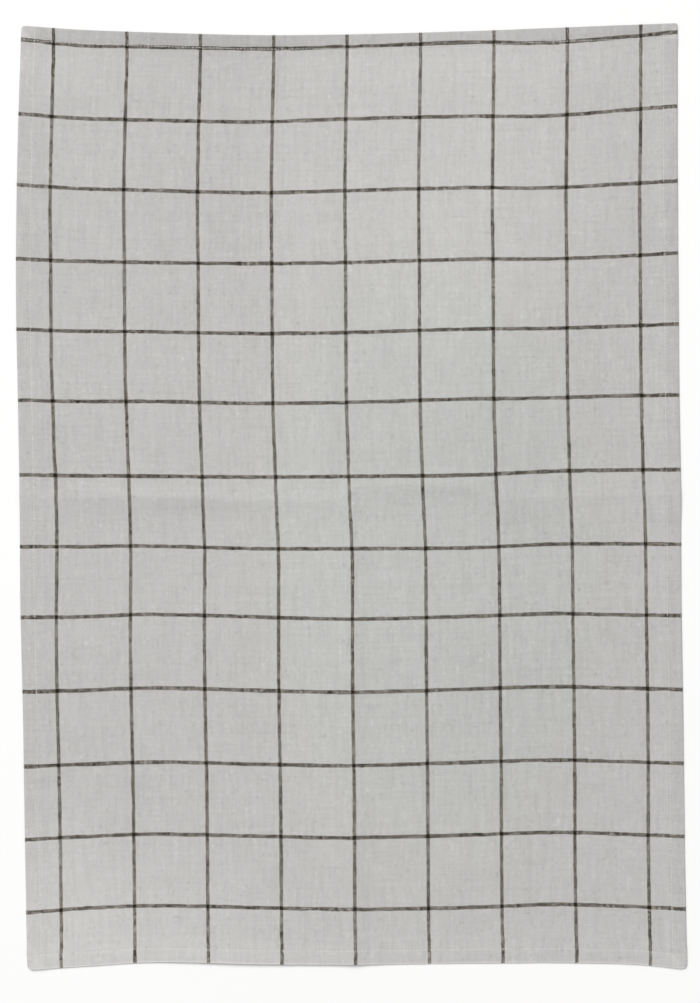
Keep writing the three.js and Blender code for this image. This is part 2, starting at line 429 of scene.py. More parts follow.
def hem_adds(inset):
    """What one hem adds to the height of the upper side, at a distance from its edge."""
    return smooth(HEM_ADDS[:, 0], HEM_ADDS[:, 1], inset)


def edge_roundness(across, along):
    """0 on the folded edge and 1 from the fold's radius inwards, along a quarter of a circle."""
    inset = np.minimum(HALF_WIDTH - np.abs(across), HALF_LENGTH - np.abs(along))
    short = np.clip(1 - inset / FOLD_RADIUS, 0, 1)
    return np.sqrt(1 - short * short)


def stack_height(across, along):
    """All layers at a place: the cloth and what each of the two hems adds."""
    side = hem_adds(HALF_WIDTH - np.abs(across))
    end = hem_adds(HALF_LENGTH - np.abs(along))
    return CLOTH_THICKNESS + side + end


def upper_height(across, along):
    """The upper side: the lift, the ripples and the puckers under the layers, rounded at the edge."""
    layers = stack_height(across, along) * (1 + edge_roundness(across, along)) / 2
    raised = pucker(across, along) * edge_roundness(across, along)
    return fold_lift(across, along) + ripple(across, along) + raised + layers


def under_height(across, along):
    """The under side: on the table under the hem, then off it where the cloth passes over the inner fold."""
    side_inset = HALF_WIDTH - np.abs(across)
    end_inset = HALF_LENGTH - np.abs(along)
    rounding = stack_height(across, along) * (1 - edge_roundness(across, along)) / 2
    side_gap = np.interp(side_inset, *LEAVING.T) * hem_adds(np.maximum(side_inset, INNER_FOLD))
    end_gap = hem_adds(np.maximum(end_inset, INNER_FOLD))
    gap = np.interp(end_inset, *LEAVING.T) * (end_gap + side_gap)
    return fold_lift(across, along) + ripple(across, along) + rounding + gap


INTO_CORNER = 5
corner_stack = stack_height(np.array(HALF_WIDTH - INTO_CORNER), np.array(HALF_LENGTH - INTO_CORNER))
print("thickness in mm: cloth", CLOTH_THICKNESS, "and corner", round(float(corner_stack), 2))

# %% [markdown]
# The grid
#
# The cloth is two grids of the same make, one for each side, that share their outermost line on the folded
# edge, so the mesh is closed. The lines are close together over the hem and at the folds, where the surface
# bends, and 3.4 mm apart between them. Over the inner fold the two sides need their lines at different
# places: the upper side passes softly over it, while the under side drops almost straight down.

# %% Grid lines
# distance from the edge of a line of the upper side, and of the same line of the under side
HEM_LINES = np.array([
    (0, 0),
    (0.06, 0.06),
    (0.22, 0.22),
    (0.45, 0.45),
    (1.2, 1.2),
    (2.2, 2.2),
    (3.3, 3.3),
    (4.5, 4.5),
    (7.0, 7.0),
    (8.8, 8.8),
    (9.8, 9.8),
    (10.6, 10.6),
    (11.4, 11.4),
    (12.2, 11.8),
    (12.9, 12.0),
    (13.6, 12.15),
    (14.4, INNER_FOLD),
    (15.8, 13.6),
    (17.8, 16.4),
    (20.5, 20.2),
    (HEM_REACH, HEM_REACH),
])
FOLD_LINES = np.array([-8, -5, -3, -1.6, -0.6, 0.6, 1.6, 3, 5, 8])
CELL = 3.4


def grid_lines(half, folds):
    """Lines from one edge to the other: the hem's own on both sides, the folds' own, and even ones
    between them. Returns the places for the upper side and for the under side."""
    stops = [-(half - HEM_REACH)]
    inner = []
    for fold in folds:
        stops.append(fold + FOLD_LINES[0])
        inner.append(fill(*stops[-2:]))
        inner.append(fold + FOLD_LINES[1:])
        stops.append(fold + FOLD_LINES[-1])
    inner.append(fill(stops[-1], half - HEM_REACH)[:-1])
    middle = np.concatenate(inner)
    return [np.concatenate([edge - half, middle, half - edge[::-1]]) for edge in HEM_LINES.T]


def fill(start, end):
    """Even places after start, up to and with end, no further apart than a cell."""
    count = math.ceil((end - start) / CELL)
    return start + (end - start) * np.arange(1, count + 1) / count


across_lines = grid_lines(HALF_WIDTH, [LONG_FOLD_ACROSS])
along_lines = grid_lines(HALF_LENGTH, [0])
print("grid lines:", len(across_lines[0]), "across and", len(along_lines[0]), "along")

# %% Points of the two sides
def side_points(across, along, height):
    """The grid of one side on the table, in millimetres."""
    x, y = place_on_table(across, along)
    return np.stack([x, y, height(across, along)], axis=-1)


upper_across, upper_along = np.meshgrid(across_lines[0], along_lines[0])
under_across, under_along = np.meshgrid(across_lines[1], along_lines[1])
upper = side_points(upper_across, upper_along, upper_height)
under = side_points(under_across, under_along, under_height)

# The middle of the towel's box is the origin of the frame
own_middle = (upper.min(axis=(0, 1)) + upper.max(axis=(0, 1))) / 2
TO_FRAME = ((towel_low + towel_high) / 2 - own_middle) * (1, 1, 0)
upper += TO_FRAME
under += TO_FRAME
print("moved to the frame by, in mm:", TO_FRAME.round(2))

# %% [markdown]
# Three maps on the cloth
#
# The map Weave holds where each place was on the loom, in metres, so the weave and the check follow the
# drift of the yarns. On the back, the hem shows cloth from beyond the folded edge, so the map is mirrored
# there. The map OFBake lays both sides out in one square, without overlap, for baking. The third is a
# value at each point instead of a picture, and comes in the next step.

# %% Maps for the weave and for baking
BAKE_MARGIN = 0.01
BAKE_SPLIT = 0.61


def weave_map(points, across, along, turned):
    """The place on the table less the drift. Where turned, it is mirrored in the folded edge."""
    rightwards, upwards = yarn_drift(across, along)
    loom = points[..., :2] - TO_FRAME[:2] - np.stack([rightwards, upwards], axis=-1)
    if turned:
        side_depth = HALF_WIDTH - np.abs(across)
        end_depth = HALF_LENGTH - np.abs(along)
        loom[..., 0] += np.sign(across) * np.where(side_depth < INNER_FOLD, 2 * side_depth, 0)
        loom[..., 1] += np.sign(along) * np.where(end_depth < INNER_FOLD, 2 * end_depth, 0)
    return loom * MM


def bake_map(points, bottom, top):
    """The length runs along the square's width, and the cloth's width between two heights of the square."""
    low = points[..., :2].min(axis=(0, 1))
    share = (points[..., :2] - low) / (points[..., :2].max(axis=(0, 1)) - low)
    u = BAKE_MARGIN + share[..., 1] * (1 - 2 * BAKE_MARGIN)
    v = bottom + share[..., 0] * (top - bottom)
    return np.stack([u, v], axis=-1)


side_maps = {
    "Weave": (
        weave_map(upper, upper_across, upper_along, turned=False),
        weave_map(under, under_across, under_along, turned=True),
    ),
    "OFBake": (
        bake_map(upper, BAKE_MARGIN, BAKE_SPLIT - BAKE_MARGIN),
        bake_map(under, BAKE_SPLIT + BAKE_MARGIN, 1 - BAKE_MARGIN),
    ),
}

# %% [markdown]
# Painted light and shade on the cloth
#
# The cloth's colour holds painted light and painted shade: broad paler and greyer places, painted shade on
# the lower side of the fold across it, a greyer top hem, slightly greyer side hems, a paler bottom hem, and
# painted light on the lowest edge as if from the white table; the corners are also made paler. A painted
# picture could hold this, but a few soft ovals and one value for each hem do it with less, and stay soft at
# any distance. They are worked out at the grid's points and kept as the attribute tone, which the material
# adds to the brightness of the yarns. The cloth is also a little cooler round its middle than near its
# edges, which the attribute cool holds.

# %% Painted light and shade on the cloth
# across, along, reach across, reach along, how much lighter the painted light makes the cloth there (below
# zero, how much darker the painted shade makes it)
LIGHT_AND_SHADE_PATCHES = (
    (55, 250, 170, 210, 0.063),
    (-225, 350, 90, 80, 0.075),
    (110, 350, 230, 60, 0.065),
    (235, 200, 60, 110, -0.03),
    (-32, 0, 42, 420, 0.025),
    (150, -110, 160, 300, -0.045),
    (-240, -300, 110, 100, 0.075),
    (-170, -345, 190, 105, 0.085),
    (-60, -352, 110, 22, 0.035),
    (150, -352, 80, 22, -0.03),
    # these two narrow ovals are painted shade on the lower side of the fold across the cloth
    (-125, -9, 150, 10, -0.025),
    (72, 4, 42, 8, -0.02),
)
# painted shade on the top and side hems, painted light on the bottom hem, paler corners, and painted light
# on the lowest edge as if from the white table
LEFT_HEM_PAINTED_SHADE = -0.02
RIGHT_HEM_PAINTED_SHADE = -0.03
BOTTOM_HEM_PAINTED_LIGHT = 0.045
TOP_HEM_PAINTED_SHADE = -0.155
CORNER_LIGHTENING = 0.08
LOWER_EDGE_PAINTED_LIGHT = 0.42
HEM_PAINT_FADE = (10.4, 12.6)
LOWER_EDGE_FADE = (0.3, 1.5)
# the cool place has the same columns, and its share stops at 1
COOL_PLACE = (60, -40, 185, 335, 2.0)


def painted_light_and_shade(across, along):
    """How much painted light or painted shade lightens or darkens a place: broad soft patches, each hem by
    itself, the corners, and the lowest edge.
    """
    from_side = HALF_WIDTH - np.abs(across)
    from_end = HALF_LENGTH - np.abs(along)
    on_side = 1 - smooth_step(from_side, *HEM_PAINT_FADE)
    on_end = 1 - smooth_step(from_end, *HEM_PAINT_FADE)
    side_painted = on_side * np.where(across < 0, LEFT_HEM_PAINTED_SHADE, RIGHT_HEM_PAINTED_SHADE)
    end_painted = on_end * np.where(along < 0, BOTTOM_HEM_PAINTED_LIGHT, TOP_HEM_PAINTED_SHADE)
    hem_painted = np.where(from_side < from_end, side_painted, end_painted) + CORNER_LIGHTENING * on_side * on_end
    # painted light on the lowest edge, as if from the white table
    lower_edge_light = LOWER_EDGE_PAINTED_LIGHT * (1 - smooth_step(from_end, *LOWER_EDGE_FADE)) * (along < 0)
    return hem_painted + lower_edge_light + sum(mound(across, along, tone) for tone in LIGHT_AND_SHADE_PATCHES)


def cloth_cool(across, along):
    """1 round the middle of the cloth and 0 near its edges."""
    return np.minimum(mound(across, along, COOL_PLACE), 1)


# the attribute tone holds the painted light and shade, and cool the cooler middle
point_values = {
    "tone": [painted_light_and_shade(upper_across, upper_along), painted_light_and_shade(under_across, under_along)],
    "cool": [cloth_cool(upper_across, upper_along), cloth_cool(under_across, under_along)],
}
for name, (upper_values, _) in point_values.items():
    print(name, "from", round(float(upper_values.min()), 3), "to", round(float(upper_values.max()), 3))

# %% [markdown]
# From grids to a mesh
#
# A mesh needs a list of points, and faces that name their corners. The faces of a grid follow from its
# numbering. The under grid is turned round so that its faces look down, and on the outermost line it
# borrows the upper grid's points, which closes the edge.

# %% The towel's mesh
def grid_faces(numbers):
    """Four corners for each cell of a grid of point numbers, anticlockwise."""
    corners = (numbers[:-1, :-1], numbers[:-1, 1:], numbers[1:, 1:], numbers[1:, :-1])
    return np.stack(corners, axis=-1).reshape(-1, 4)


def new_piece(name, points, faces, maps):
    """A mesh object from points in millimetres, its faces, and maps with a pair for each face's corner."""
    mesh = bpy.data.meshes.new(name)
    mesh.from_pydata((points * MM).tolist(), [], faces.tolist())
    for map_name, corners in maps.items():
        layer = mesh.uv_layers.new(name=map_name)
        layer.data.foreach_set("uv", corners.astype(np.float32).ravel())
    mesh.polygons.foreach_set("use_smooth", np.ones(len(faces), bool))
    mesh.update()
    piece = bpy.data.objects.new(name, mesh)
    bpy.context.collection.objects.link(piece)
    return piece


grid_shape = upper.shape[:2]
upper_numbers = np.arange(upper[..., 0].size).reshape(grid_shape)
under_numbers = upper_numbers + upper_numbers.size
flipped = under_numbers[:, ::-1]
quads = np.concatenate([grid_faces(upper_numbers), grid_faces(flipped)])

on_rim = np.zeros(grid_shape, bool)
on_rim[[0, -1], :] = True
on_rim[:, [0, -1]] = True
shared = np.concatenate([upper_numbers.ravel(), np.where(on_rim, upper_numbers, under_numbers).ravel()])
used, welded = np.unique(shared[quads], return_inverse=True)

all_points = np.concatenate([upper.reshape(-1, 3), under.reshape(-1, 3)])
corner_maps = {
    name: np.concatenate([side.reshape(-1, 2) for side in sides])[quads.ravel()]
    for name, sides in side_maps.items()
}
towel = new_piece("towel_cloth", all_points[used], welded.reshape(-1, 4), corner_maps)
for name, sides in point_values.items():
    attribute = towel.data.attributes.new(name, "FLOAT", "POINT")
    attribute.data.foreach_set("value", np.concatenate([side.ravel() for side in sides])[used])
print("towel_cloth:", 2 * len(quads), "triangles, thickest", round(float(all_points[:, 2].max()), 2), "mm")

# %% [markdown]
# Small helpers for materials
#
# A material here is a graph of nodes. Written out one by one it would be long, so a few helpers make a
# node, feed it sockets or plain numbers, and hand back its result.

# %% Helpers for node graphs
def feed(tree, value, socket):
    """Links a socket to an input, or sets the input to a plain value."""
    if isinstance(value, bpy.types.NodeSocket):
        tree.links.new(value, socket)
    else:
        socket.default_value = value


def add_node(tree, kind, inputs=None, **settings):
    """A new node with its settings and its inputs, by name or by number."""
    node = tree.nodes.new("ShaderNode" + kind)
    for name, value in settings.items():
        setattr(node, name, value)
    for name, value in (inputs or {}).items():
        feed(tree, value, node.inputs[name])
    return node


def calc(tree, operation, *values, clamp=False):
    """One step of arithmetic on sockets and numbers."""
    inputs = dict(enumerate(values))
    return add_node(tree, "Math", inputs, operation=operation, use_clamp=clamp).outputs[0]


def noise(tree, x, y, z=0.0, detail=0.0):
    """Smooth noise about zero, mostly between -0.5 and 0.5, at a place given by sockets or numbers."""
    place = add_node(tree, "CombineXYZ", {0: x, 1: y, 2: z}).outputs[0]
    wave = add_node(tree, "TexNoise", {"Vector": place, "Scale": 1.0, "Detail": detail})
    return calc(tree, "SUBTRACT", wave.outputs[0], 0.5)


def weighted(tree, *terms):
    """The sum of sockets, each times its weight."""
    total = 0.0
    for socket, weight in terms:
        total = calc(tree, "MULTIPLY_ADD", socket, weight, total)
    return total


def blend(tree, share, first, second):
    """A colour between two others."""
    inputs = {0: share, 6: first, 7: second}
    return add_node(tree, "Mix", inputs, data_type="RGBA").outputs[2]


def new_material(name):
    """An empty material with a Principled shader, its node tree and its shader."""
    material = bpy.data.materials.new(name)
    material.use_nodes = True
    tree = material.node_tree
    return material, tree, tree.nodes["Principled BSDF"]


# %% [markdown]
# The weave
#
# Plain weave is the simplest: every yarn goes over one crossing yarn and under the next. The check comes
# from four dark yarns in every 85 of the warp and in every 76 of the weft. Where dark yarns cross light
# ones, half of each dot is dark, so the line looks grey-brown. Where dark crosses dark it is nearly black.
#
# A check painted as flat bars would miss this, and would look printed. Here each point asks which warp yarn
# and which weft yarn it lies on, and which of the two is on top. The yarns are slubby, as in linen: their
# thickness and tone vary along them, and no two have quite the same tone. A thick light yarn hides more of
# the dark one that it crosses, and so the check lines get their lighter and darker stretches. Where a light
# yarn crosses dark ones, it is painted darker, as painted shade from the dark yarns, and browner, partly
# from their brown showing through its loose fibres and partly as painted light reflected from them. The
# yarns are also painted darker at their rims, as painted shade in the gaps between them.

# %% The towel's woven material
WARP_YARNS_PER_CHECK = 85
WEFT_YARNS_PER_CHECK = 76
DARK_YARNS = 4
WARP_YARN = WARP_LINE_PITCH / WARP_YARNS_PER_CHECK
WEFT_YARN = WEFT_LINE_PITCH / WEFT_YARNS_PER_CHECK

LIGHT_YARN = (0.4931, 0.4811, 0.4696, 1)
COOL_YARN = (0.4852, 0.4863, 0.4722, 1)
# a light yarn crossing dark ones: browner, partly from their brown fibres and partly as painted light
# reflected from them
OVER_DARK_BLEED_AND_BOUNCE = (0.534, 0.496, 0.434, 1)
DARK_YARN = (0.0155, 0.0098, 0.0042, 1)
print("yarn pitch in mm:", round(WARP_YARN, 3), "warp and", round(WEFT_YARN, 3), "weft")

# noise that moves the yarns: its waves to a warp yarn, its waves to a weft yarn, its seed
WARP_WANDER = (0.15, 0.09, 3.1)
WEFT_WANDER = (0.07, 0.2, 8.7)
UNEVENNESS = (0.33, 0.33, 14.3)
# how far it moves them, in yarns
WARP_WANDERS_BY = 0.9
WEFT_WANDERS_BY = 1.1
UNEVEN_BY = 0.9

# each yarn's own tone: the step in the noise from yarn to yarn, its waves to a yarn crossed, its seed
WARP_OWN_TONE = (7.31, 0.03, 51.5)
WEFT_OWN_TONE = (5.17, 0.03, 57.5)

# noise on the cloth: how many warp yarns wide it is, how many weft yarns long, its seed, its finer detail
BLOTCHES = {
    "slub along": (4.8, 23.0, 0.5, 1.0),
    "slub across": (16.0, 3.0, 5.5, 1.0),
    "nub": (1.8, 2.4, 35.5, 0.0),
    "grain": (3.4, 3.6, 11.5, 0.0),
    "warp lot": (3.6, 300.0, 17.5, 1.0),
    "weft lot": (300.0, 3.4, 23.5, 1.0),
    "cloud": (45.0, 60.0, 29.5, 1.0),
    "warmth": (14.0, 22.0, 41.5, 1.0),
}

# what makes the warp yarn the upper one, what wears a dark yarn pale, and what makes a yarn lighter
COVER = {
    "slub along": -1.1, "slub across": 1.1, "grain": 0.9, "nub": 1.5, "over": 1.0,
    "dark weft": -0.13, "dark warp": 0.03,
}
WORN = {"slub along": 0.15, "grain": 0.3}
YARN_TONE = {
    "slub along": 0.15, "slub across": 0.055, "grain": 0.03, "speck": 0.045, "warp lot": 0.07,
    "weft lot": 0.055, "cloud": 0.02, "warp's own": 0.18, "weft's own": 0.15,
}
# the yarns' brightness: painted shade in the gaps at each yarn's rim and on light yarns beside dark ones,
# the broad painted light and shade, and the yarns' own tone
PAINTED_SHADE_AND_TONE = {"rim": 0.24, "beside dark": -0.41, "broad painted light and shade": 1.0, "yarn tone": 1.0}
BRIGHTNESS = 0.884
COVER_SHARPNESS = 3.0
SPECK_SHARPNESS = 3.5
WARMTH_SPREAD = 0.9

# what raises the surface, in metres
HEIGHT = {"rim": 0.07 * MM, "slub along": 0.05 * MM, "slub across": 0.05 * MM}
BUMP_STRENGTH = 0.6
CLOTH_FINISH = {
    "Roughness": 0.92,
    "Specular IOR Level": 0.25,
    "Sheen Weight": 0.08,
    "Sheen Roughness": 0.45,
}


# %% [markdown]
# Where the yarns lie
#
# A photographed texture would bring its own grain and seams. Here arithmetic makes the weave: the place on
# the loom is counted in yarns, each yarn wanders by a part of its width, and the sign of a product of two
# sines says which yarn is on top. A slub is noise that is stretched along the yarns.

# %% Where the yarns lie and which is on top
def scaled_noise(tree, warp, weft, to_warp_yarn, to_weft_yarn, seed, detail=0.0):
    """Noise with so many waves to a warp yarn and to a weft yarn."""
    x = calc(tree, "MULTIPLY", warp, to_warp_yarn)
    y = calc(tree, "MULTIPLY", weft, to_weft_yarn)
    return noise(tree, x, y, seed, detail)


def yarn_places(tree):
    """The place on the loom, counted in yarns from the middle warp line and from the top weft line, with
    each yarn wandering a little."""
    uv = add_node(tree, "UVMap", uv_map="Weave").outputs[0]
    loom = add_node(tree, "SeparateXYZ", {0: uv})
    warp = calc(tree, "MULTIPLY_ADD", loom.outputs[0], 1 / (WARP_YARN * MM), -MIDDLE_WARP_LINE / WARP_YARN)
    weft = calc(tree, "MULTIPLY_ADD", loom.outputs[1], 1 / (WEFT_YARN * MM), -TOP_WEFT_LINE / WEFT_YARN)
    warp_wander = scaled_noise(tree, warp, weft, *WARP_WANDER)
    weft_wander = scaled_noise(tree, warp, weft, *WEFT_WANDER)
    unevenness = scaled_noise(tree, warp, weft, *UNEVENNESS)
    own_warp = weighted(tree, (warp_wander, WARP_WANDERS_BY), (unevenness, UNEVEN_BY), (warp, 1.0))
    own_weft = weighted(tree, (weft_wander, WEFT_WANDERS_BY), (unevenness, -UNEVEN_BY), (weft, 1.0))
    return own_warp, own_weft


def is_dark(tree, yarns, per_check):
    """1 on the dark yarns that lie round each check line, and 0 on the light ones."""
    from_line = calc(tree, "WRAP", yarns, per_check / 2, -per_check / 2)
    return calc(tree, "LESS_THAN", calc(tree, "ABSOLUTE", from_line), DARK_YARNS / 2)


def crossing(tree, warp, weft):
    """Plain weave as a product of two sines with a half wave for each yarn: its sign says which yarn is on
    top, warp above zero and weft below, and its size how far the point is from the yarn's rim."""
    across = calc(tree, "SINE", calc(tree, "MULTIPLY", warp, math.pi))
    along = calc(tree, "SINE", calc(tree, "MULTIPLY", weft, math.pi))
    return calc(tree, "MULTIPLY", across, along)


def own_tones(tree, warp, weft):
    """Noise that is the same over the width of one yarn and changes slowly along it, for warp and weft."""
    warp_step, along_warp, warp_seed = WARP_OWN_TONE
    weft_step, along_weft, weft_seed = WEFT_OWN_TONE
    warp_number = calc(tree, "MULTIPLY", calc(tree, "FLOOR", warp), warp_step)
    weft_number = calc(tree, "MULTIPLY", calc(tree, "FLOOR", weft), weft_step)
    warp_own = noise(tree, warp_number, calc(tree, "MULTIPLY", weft, along_warp), warp_seed)
    weft_own = noise(tree, calc(tree, "MULTIPLY", warp, along_weft), weft_number, weft_seed)
    return warp_own, weft_own


# %% [markdown]
# From yarns to a colour
#
# Three questions give the colour of a point: which yarn is on top there, whether that yarn is dark, and how
# light it is. Each answer is a sum of named fields, weighed by the tables above, so the weave can be tuned
# without a change to the graph.

# %% The material's graph
def build_cloth_material():
    """Light and dark yarns in plain weave, their slubs, painted shade between them, and broad painted light
    and shade.
    """
    material, tree, shader = new_material("woven_check")
    warp, weft = yarn_places(tree)
    field = {}
    for name, (wide, long, seed, detail) in BLOTCHES.items():
        field[name] = scaled_noise(tree, warp, weft, 1 / wide, 1 / long, seed, detail)

    def mixed(weights):
        """The sum of the named fields, each times its weight."""
        return weighted(tree, *((field[name], weight) for name, weight in weights.items()))

    over = crossing(tree, warp, weft)
    dark_warp = is_dark(tree, warp, WARP_YARNS_PER_CHECK)
    dark_weft = is_dark(tree, weft, WEFT_YARNS_PER_CHECK)
    field.update({"over": over, "dark warp": dark_warp, "dark weft": dark_weft})
    warp_on_top = calc(tree, "MULTIPLY_ADD", mixed(COVER), COVER_SHARPNESS, 0.5, clamp=True)
    weft_on_top = calc(tree, "SUBTRACT", 1.0, warp_on_top)
    dark_on_warp = calc(tree, "MULTIPLY", warp_on_top, dark_warp)
    dark = calc(tree, "MULTIPLY_ADD", weft_on_top, dark_weft, dark_on_warp)
    dark_kept = calc(tree, "SUBTRACT", 1.0, calc(tree, "MAXIMUM", mixed(WORN), 0.0))

    warp_own, weft_own = own_tones(tree, warp, weft)
    field["warp's own"] = calc(tree, "MULTIPLY", warp_on_top, warp_own)
    field["weft's own"] = calc(tree, "MULTIPLY", weft_on_top, weft_own)
    grain = calc(tree, "MULTIPLY", field["grain"], SPECK_SHARPNESS)
    field["speck"] = calc(tree, "POWER", grain, 3.0)
    field["yarn tone"] = mixed(YARN_TONE)
    # the rim is a real bump, and through its weight in the brightness also painted shade in the gaps between
    # yarns
    field["rim"] = calc(tree, "POWER", calc(tree, "ABSOLUTE", over), 0.5)
    field["beside dark"] = calc(tree, "MAXIMUM", dark_warp, dark_weft)
    # the attribute tone is painted light and painted shade
    field["broad painted light and shade"] = add_node(tree, "Attribute", attribute_name="tone").outputs["Fac"]
    # painted shade and painted light enter the yarns' brightness here
    brightness = calc(tree, "ADD", mixed(PAINTED_SHADE_AND_TONE), BRIGHTNESS)

    broad_cool = add_node(tree, "Attribute", attribute_name="cool").outputs["Fac"]
    cool_share = calc(tree, "MULTIPLY_ADD", field["warmth"], WARMTH_SPREAD, broad_cool, clamp=True)
    own_light = blend(tree, cool_share, LIGHT_YARN, COOL_YARN)
    # light yarns beside dark ones turn browner: partly brown fibres showing through, partly painted
    # reflected light
    light = blend(tree, field["beside dark"], own_light, OVER_DARK_BLEED_AND_BOUNCE)
    lit = add_node(tree, "VectorMath", {0: light, "Scale": brightness}, operation="SCALE").outputs[0]
    colour = blend(tree, calc(tree, "MULTIPLY", dark, dark_kept), lit, DARK_YARN)

    relief = {"Height": mixed(HEIGHT), "Distance": 1.0, "Strength": BUMP_STRENGTH}
    bump = add_node(tree, "Bump", relief)
    feed(tree, colour, shader.inputs["Base Color"])
    feed(tree, bump.outputs[0], shader.inputs["Normal"])
    for name, value in CLOTH_FINISH.items():
        shader.inputs[name].default_value = value
    return material


towel.data.materials.append(build_cloth_material())
print("towel_cloth has", len(towel.data.materials[0].node_tree.nodes), "material nodes")

# %% [markdown]
# The line of stitches
#
# A sewing machine leaves a row of short straight stitches on each side of the cloth, 2.6 mm apart here.
# Each one comes out of the cloth, lies on it for two millimetres and dives in again. A dashed line in the
# material would do from far away. Real geometry catches the light from the side too, and is cheap: a
# profile of six corners is carried along each stitch's low arch, for all stitches at once.
#
# The side hems are sewn first and the end hems over them, so on the back the side stitches stop where the
# end hem covers them.

# %% Where the stitches lie
STITCH_INSET = 10.6
STITCH_PITCH = 2.6
STITCH_LENGTH = 2.15
THREAD_RADIUS = 0.22
STITCH_RISE = 0.13
STITCH_DIVE = 1.2
STITCH_THINNING = 3.6
STITCH_LENGTHS = (0.9, 1.08)
STITCH_SLIP = 0.07
STITCH_SLANT = 0.05
DEEPEST_STITCH = 0.2
SEAM_END = 1.5
STITCH_STEPS = np.array([-0.5, -0.4, -0.15, 0.15, 0.4, 0.5])
THREAD_CORNERS = 6


def seam(start, end, fixed, runs_along):
    """Middles of the stitches of one seam, in flat sizes, and which way it runs: 1 along, 0 across."""
    count = int((end - start) / STITCH_PITCH)
    places = start + (end - start) * (np.arange(count) + 0.5) / count
    pairs = [np.full(count, fixed), places] if runs_along else [places, np.full(count, fixed)]
    return np.stack([*pairs, np.full(count, float(runs_along))], axis=-1)


def seams(side_stop):
    """Both side seams, which stop short of the end edges by side_stop, and both end seams."""
    side_end = HALF_LENGTH - side_stop
    end_end = HALF_WIDTH - SEAM_END
    sides = [seam(-side_end, side_end, s * (HALF_WIDTH - STITCH_INSET), True) for s in (-1, 1)]
    ends = [seam(-end_end, end_end, s * (HALF_LENGTH - STITCH_INSET), False) for s in (-1, 1)]
    return np.concatenate(sides + ends)


front_stitches = seams(side_stop=SEAM_END)
back_stitches = seams(side_stop=INNER_FOLD)
print("stitches:", len(front_stitches), "in front and", len(back_stitches), "behind")

# %% The stitches' mesh
def stitch_points(stitches, height, facing):
    """A tube along each stitch. Its middle line is a low arch, half a cosine wave, which starts and ends
    inside the cloth, and its section gets thinner to both ends. Facing is 1 for the upper side."""
    count = len(stitches)
    lengths = STITCH_LENGTH * draw.uniform(*STITCH_LENGTHS, (count, 1, 1))
    slips = draw.normal(0, STITCH_SLIP, (count, 1, 1))
    slants = draw.normal(0, STITCH_SLANT, (count, 1, 1))
    depths = draw.uniform(0, DEEPEST_STITCH, (count, 1, 1))
    step = STITCH_STEPS[None, :, None]
    turn = (2 * math.pi * np.arange(THREAD_CORNERS) / THREAD_CORNERS)[None, None, :]
    radius = THREAD_RADIUS * (1 - STITCH_THINNING * step ** 4)
    onwards = lengths * step + 0 * turn
    sideways = slips + slants * step + radius * np.cos(turn)
    runs_along = stitches[:, 2, None, None]
    across = stitches[:, 0, None, None] + np.where(runs_along > 0, sideways, onwards)
    along = stitches[:, 1, None, None] + np.where(runs_along > 0, onwards, sideways)
    arch = STITCH_RISE * ((1 + STITCH_DIVE) * np.cos(math.pi * step) - STITCH_DIVE) - depths
    x, y = place_on_table(across, along)
    middle_across = stitches[:, 0, None, None] + np.where(runs_along > 0, 0, onwards)
    middle_along = stitches[:, 1, None, None] + np.where(runs_along > 0, onwards, 0)
    z = height(middle_across, middle_along) + facing * arch + radius * np.sin(turn)
    return np.stack([x, y, z], axis=-1) + TO_FRAME


def tube_faces(count):
    """Faces of many equal tubes: four-cornered ones along them, and triangle fans over both ends."""
    steps = len(STITCH_STEPS)
    numbers = np.arange(steps * THREAD_CORNERS).reshape(steps, THREAD_CORNERS)
    closed = np.concatenate([numbers, numbers[:, :1]], axis=1)
    walls = grid_faces(closed)
    ring = np.arange(1, THREAD_CORNERS - 1)
    first = np.stack([0 * ring, ring, ring + 1], axis=-1)
    last = (steps - 1) * THREAD_CORNERS + np.stack([0 * ring, ring + 1, ring], axis=-1)
    starts = np.arange(count) * steps * THREAD_CORNERS
    faces = [(starts[:, None, None] + part).reshape(-1, part.shape[1]) for part in (walls, first, last)]
    return faces[0], np.concatenate(faces[1:])


front_points = stitch_points(front_stitches, upper_height, 1)
back_points = stitch_points(back_stitches, under_height, -1)
thread_points = np.concatenate([front_points.reshape(-1, 3), back_points.reshape(-1, 3)])
thread_points[:, 2] = np.maximum(thread_points[:, 2], 0)
walls, caps = tube_faces(len(front_stitches) + len(back_stitches))
thread_mesh = bpy.data.meshes.new("hem_stitches")
thread_mesh.from_pydata((thread_points * MM).tolist(), [], walls.tolist() + caps.tolist())
thread_mesh.polygons.foreach_set("use_smooth", np.ones(len(thread_mesh.polygons), bool))
thread_mesh.update()
stitching = bpy.data.objects.new("hem_stitches", thread_mesh)
bpy.context.collection.objects.link(stitching)
print("hem_stitches:", 2 * len(walls) + len(caps), "triangles")

# %% [markdown]
# The sewing thread
#
# The thread is spun cotton, a little lighter and smoother than the cloth. Its two plies wind round each
# other, which shows as a fine slanting pattern. A bump of slanting bands is enough at this size, and it
# reads Object coordinates, since each stitch is far too small for a map of its own.

# %% The thread's material
THREAD_COLOUR = (0.78, 0.77, 0.74, 1)
THREAD_SHADE = (0.62, 0.61, 0.58, 1)
PLY_SCALE = 420.0
PLY_HEIGHT = 0.04 * MM
PLY_STRENGTH = 0.5
SPOT_SCALE = 300.0
THREAD_ROUGHNESS = 0.6
THREAD_SHEEN = 0.1


